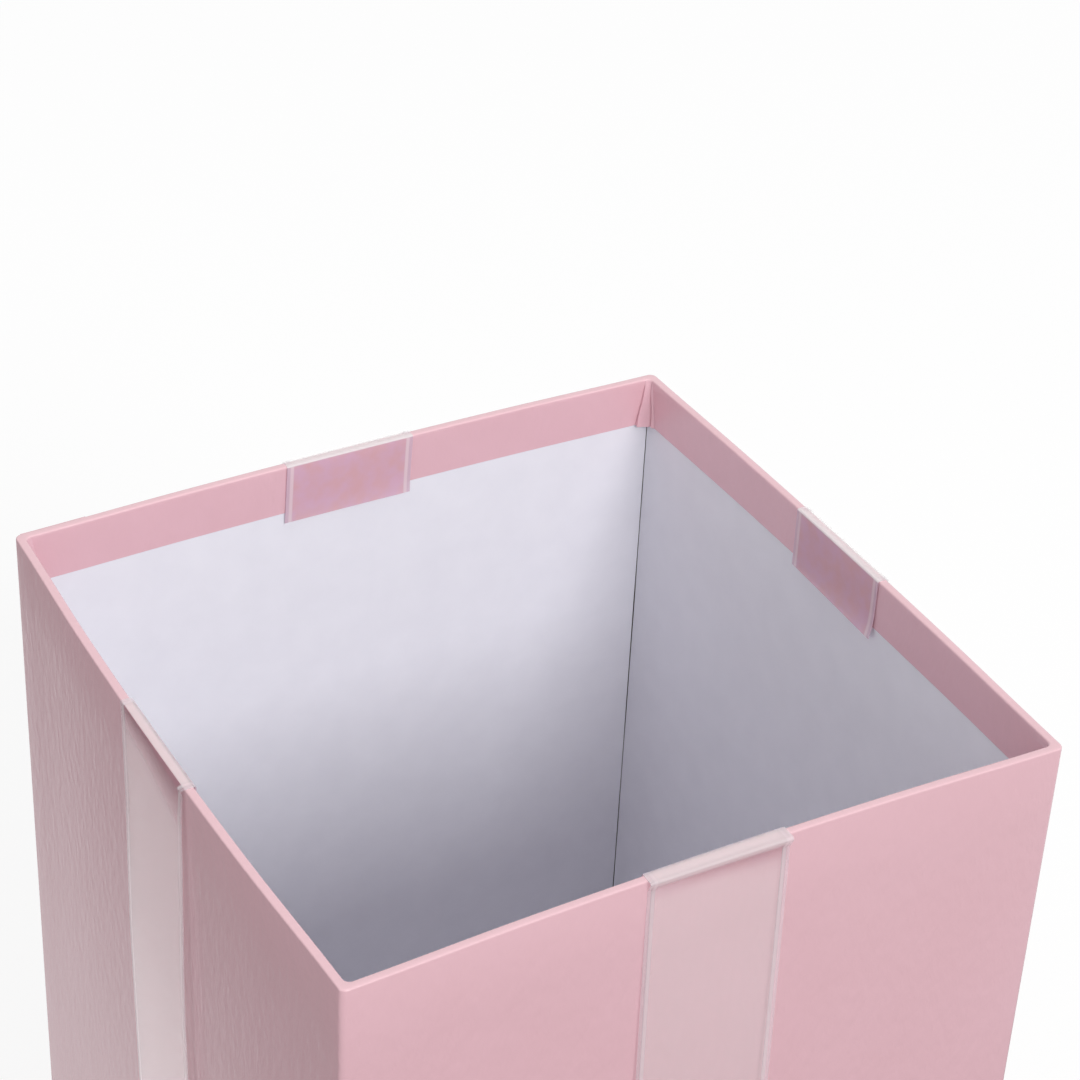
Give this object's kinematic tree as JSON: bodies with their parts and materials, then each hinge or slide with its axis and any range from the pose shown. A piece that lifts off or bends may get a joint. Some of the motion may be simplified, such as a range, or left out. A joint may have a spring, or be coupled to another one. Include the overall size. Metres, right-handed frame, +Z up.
{
  "type": "flower box",
  "caption": "Tall square rigid paper box for flowers, open at the top, with a satin cover turned in over the rim, a white lining and sheer ribbons rolled over the walls.",
  "frame": {"origin": "centre of the flat face that the box stands on", "axes": "+Z up out of the open mouth, front wall towards -Y, +X along the front wall to the right"},
  "size_m": [0.1292, 0.1292, 0.1802],
  "materials": {
    "greyboard": "matte",
    "lining_paper": "matte",
    "cover_paper": "satin",
    "base_paper": "matte",
    "stay_tape": "matte",
    "ribbon": "satin",
    "glue_pad": "satin"
  },
  "bodies": {
    "root": {"base_board": "greyboard", "base_liner": "lining_paper", "base_sheet": "base_paper", "cover_wrap": "cover_paper", "front_board": "greyboard", "front_liner": "lining_paper", "front_ribbon": "ribbon", "front_ribbon_pad": "glue_pad", "right_board": "greyboard", "right_liner": "lining_paper", "right_ribbon": "ribbon", "right_ribbon_pad": "glue_pad", "back_board": "greyboard", "back_liner": "lining_paper", "back_ribbon": "ribbon", "back_ribbon_pad": "glue_pad", "left_board": "greyboard", "left_liner": "lining_paper", "left_ribbon": "ribbon", "left_ribbon_pad": "glue_pad", "front_left_stay": "stay_tape", "front_right_stay": "stay_tape", "back_right_stay": "stay_tape", "back_left_stay": "stay_tape"}
  },
  "joints": []
}
